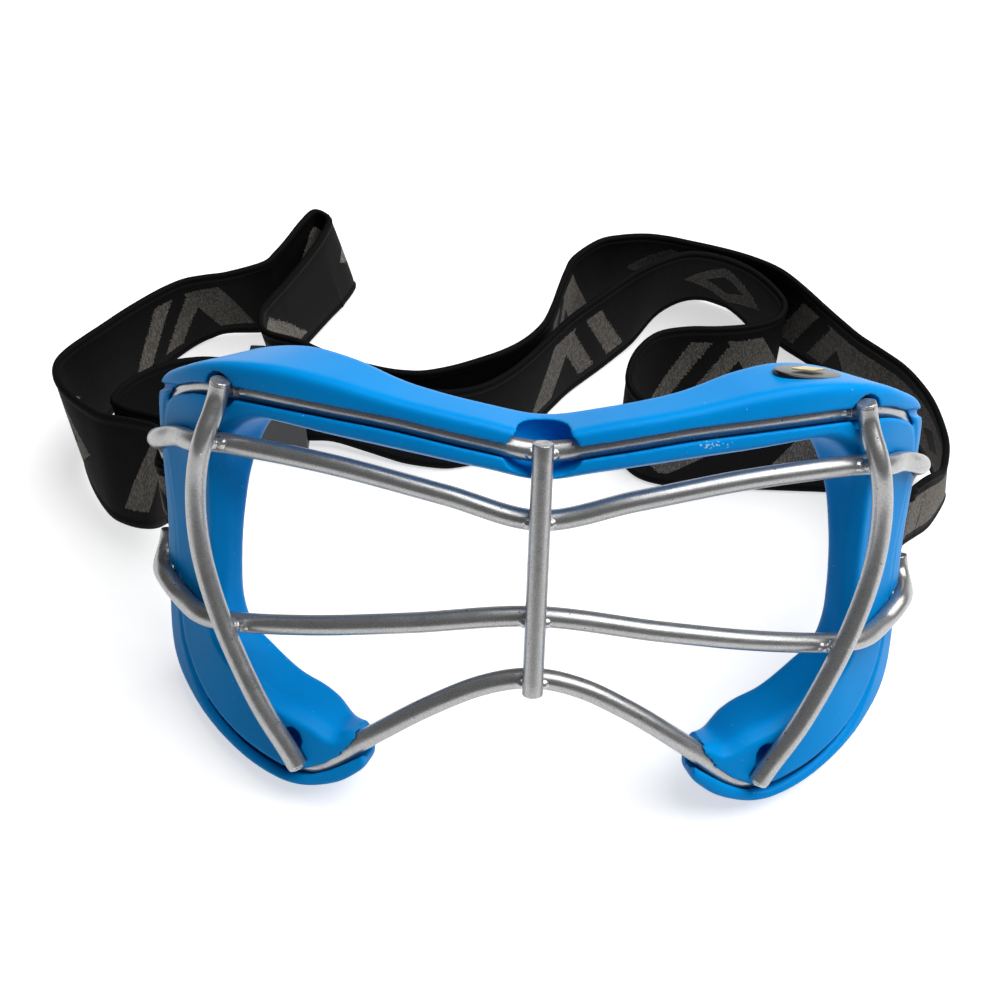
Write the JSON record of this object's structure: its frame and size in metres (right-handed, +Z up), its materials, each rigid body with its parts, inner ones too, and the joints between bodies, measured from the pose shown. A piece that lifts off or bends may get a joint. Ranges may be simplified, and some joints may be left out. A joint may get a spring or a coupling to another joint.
{
  "type": "lacrosse goggles",
  "caption": "Wire-cage sports goggles: welded steel wire cage set in a soft moulded face pad, with a loose elastic head strap and its slider behind.",
  "frame": {"origin": "middle of the object's footprint, on the surface that the goggles and the strap rest on", "axes": "+Z up, front of the goggles towards -Y and the strap towards +Y, +X to the right seen from the front"},
  "size_m": [0.2062, 0.157, 0.0841],
  "materials": {
    "coated_steel": "satin silver-grey sparkle coat on steel wire",
    "weld_metal": "rough weld beads under the same silver coat",
    "silicone": "glossy bright blue moulded silicone",
    "webbing": "matt near-black woven elastic with a warm grey pattern",
    "badge_plastic": "gloss black",
    "badge_gilt": "satin pale gold",
    "slider_plastic": "fine matt black"
  },
  "bodies": {
    "goggles": {"badge_lozenge": "badge_gilt", "badge_plate": "badge_plastic", "centre_bar": "coated_steel", "face_pad": "silicone", "lower_crossbar": "coated_steel", "nose_wire": "coated_steel", "rim_wire": "coated_steel", "side_bar_left": "coated_steel", "side_bar_right": "coated_steel", "strap": "webbing", "upper_crossbar": "coated_steel", "weld_centre_brow_left": "weld_metal", "weld_centre_brow_right": "weld_metal", "weld_centre_lower_left": "weld_metal", "weld_centre_lower_right": "weld_metal", "weld_centre_nose_left": "weld_metal", "weld_centre_nose_right": "weld_metal", "weld_centre_upper_left": "weld_metal", "weld_centre_upper_right": "weld_metal", "weld_left_foot_outer": "weld_metal", "weld_left_lower_inner": "weld_metal", "weld_left_lower_outer": "weld_metal", "weld_left_post": "weld_metal", "weld_left_top_inner": "weld_metal", "weld_left_upper_inner": "weld_metal", "weld_left_upper_outer": "weld_metal", "weld_right_foot_outer": "weld_metal", "weld_right_lower_inner": "weld_metal", "weld_right_lower_outer": "weld_metal", "weld_right_post": "weld_metal", "weld_right_top_inner": "weld_metal", "weld_right_upper_inner": "weld_metal", "weld_right_upper_outer": "weld_metal"},
    "slider": {"strap_slider": "slider_plastic"}
  },
  "joints": [
    {"name": "slider_slide", "type": "slide", "parent": "goggles", "child": "slider", "axis": [1, 0, 0], "range_m": [-0.011, 0.0055]}
  ]
}
